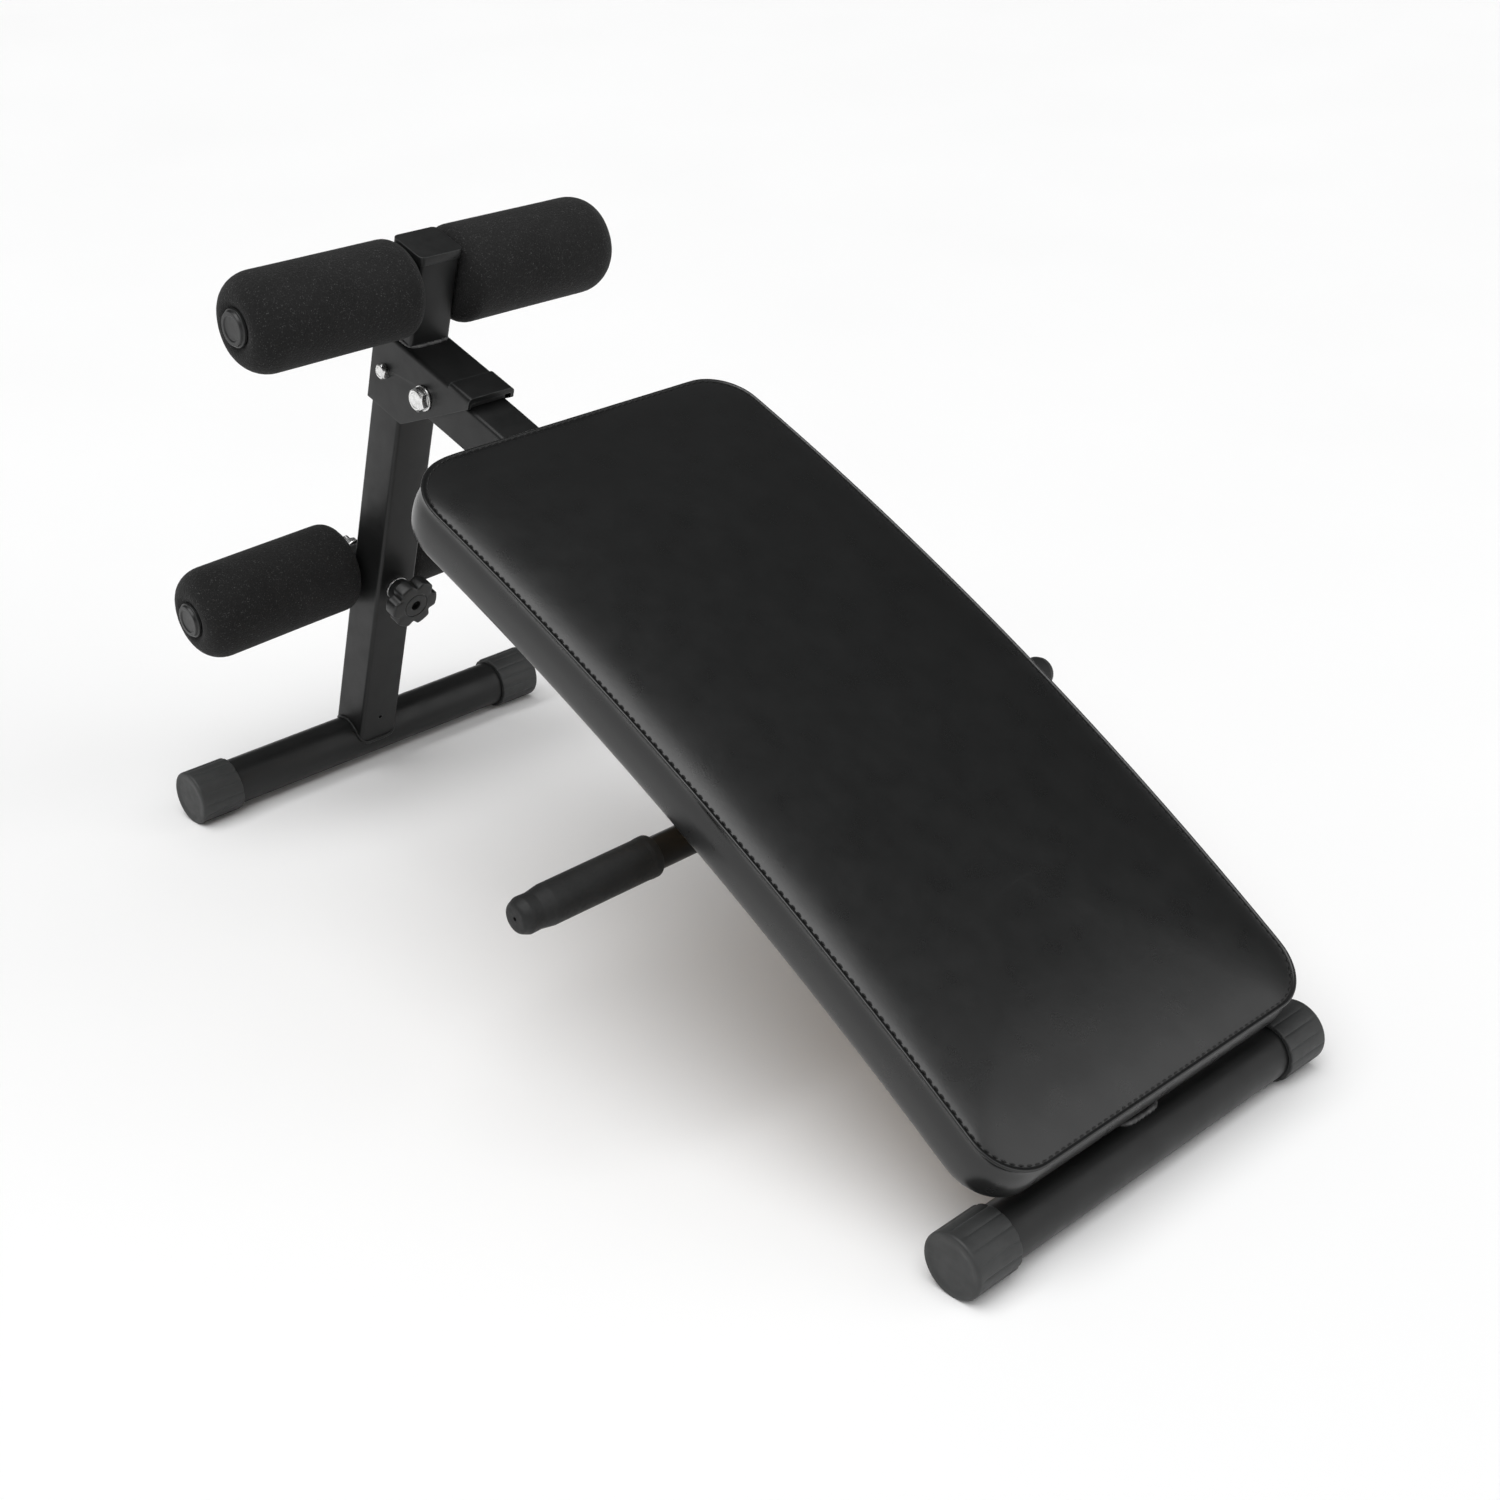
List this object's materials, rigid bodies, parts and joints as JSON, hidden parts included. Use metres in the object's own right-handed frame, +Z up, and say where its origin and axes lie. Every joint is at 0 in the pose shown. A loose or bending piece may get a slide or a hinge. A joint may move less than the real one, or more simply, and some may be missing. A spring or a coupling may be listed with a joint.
{
  "type": "decline sit up bench",
  "caption": "Folding decline sit up bench with an arched padded board, foam leg rollers on a leaning post, a cross handle bar and round floor tubes with end caps.",
  "frame": {"origin": "centre of the footprint of the whole bench, on the floor", "axes": "+X from the leg rollers to the head end, +Y to the user's left when lying down, +Z up"},
  "size_m": [0.9722, 0.554, 0.5295],
  "materials": {
    "powder_coat": "satin black powder coat on steel tube and sheet",
    "zinc": "bright zinc plate on bolts, nuts and washers",
    "rubber": "matt black rubber on floor caps, grips and the stop bumper",
    "plastic": "moulded black plastic on plugs, caps and the knob",
    "foam": "black closed-cell foam sleeve with a fine pebbled skin",
    "vinyl": "black grained vinyl cover over foam",
    "plywood": "bare plywood"
  },
  "bodies": {
    "rear_frame": {"rear_floor_tube": "powder_coat", "rear_cap_left": "rubber", "rear_cap_right": "rubber", "upright_post": "powder_coat", "hinge_bracket": "powder_coat", "stop_bumper": "rubber", "bracket_bolt": "zinc", "bracket_nut": "zinc", "pivot_bolt": "zinc", "pivot_nut": "zinc", "pivot_washer_left": "zinc", "pivot_washer_right": "zinc", "roller_post": "powder_coat", "roller_post_cap": "plastic", "upper_roller_bar": "powder_coat", "upper_end_plug_left": "plastic", "upper_end_plug_right": "plastic", "lower_roller_bar": "powder_coat", "lower_end_plug_left": "plastic", "lower_end_plug_right": "plastic", "lock_nut": "zinc", "lock_washer": "zinc"},
    "bench_beam": {"main_beam": "powder_coat", "beam_end_plug": "plastic", "pivot_bushing": "plastic", "front_floor_tube": "powder_coat", "front_cap_left": "rubber", "front_cap_right": "rubber", "handle_bar": "powder_coat", "grip_left": "rubber", "grip_right": "rubber", "pad_strap_rear": "powder_coat", "pad_strap_front": "powder_coat", "pad_screw_rear_left": "zinc", "pad_screw_rear_right": "zinc", "pad_screw_front_left": "zinc", "pad_screw_front_right": "zinc", "pad_board": "plywood", "pad_cushion": "vinyl"},
    "upper_roller_left": {"upper_foam_left": "foam"},
    "upper_roller_right": {"upper_foam_right": "foam"},
    "lower_roller_left": {"lower_foam_left": "foam"},
    "lower_roller_right": {"lower_foam_right": "foam"},
    "clamp_carrier": {"knob_washer": "zinc"},
    "clamp_knob": {"knob": "plastic", "knob_screw": "zinc"}
  },
  "joints": [
    {"name": "fold", "type": "hinge", "parent": "rear_frame", "child": "bench_beam", "pos_m": [-0.27943, 0, 0.39966], "axis": [0, 1, 0], "range_deg": [0, 80]},
    {"name": "upper_left_spin", "type": "hinge", "parent": "rear_frame", "child": "upper_roller_left", "pos_m": [-0.29807, 0, 0.48885], "axis": [0, 1, 0], "continuous": true},
    {"name": "upper_right_spin", "type": "hinge", "parent": "rear_frame", "child": "upper_roller_right", "pos_m": [-0.29807, 0, 0.48885], "axis": [0, 1, 0], "continuous": true},
    {"name": "lower_left_spin", "type": "hinge", "parent": "rear_frame", "child": "lower_roller_left", "pos_m": [-0.4326, 0, 0.21164], "axis": [0.0157, 0.9988, 0.0463], "continuous": true},
    {"name": "lower_right_spin", "type": "hinge", "parent": "rear_frame", "child": "lower_roller_right", "pos_m": [-0.4326, 0, 0.21164], "axis": [0.0157, 0.9988, 0.0463], "continuous": true},
    {"name": "clamp_slide", "type": "slide", "parent": "rear_frame", "child": "clamp_carrier", "axis": [0.9472, 0, -0.3206], "range_m": [0, 0.006]},
    {"name": "knob_turn", "type": "hinge", "parent": "clamp_carrier", "child": "clamp_knob", "pos_m": [-0.35417, 0, 0.1851], "axis": [0.9472, 0, -0.3206], "range_deg": [0, 1440]}
  ],
  "couplings": [
    {"joint": "knob_turn", "follows": "clamp_slide", "rad_per_m": 4188.8}
  ]
}
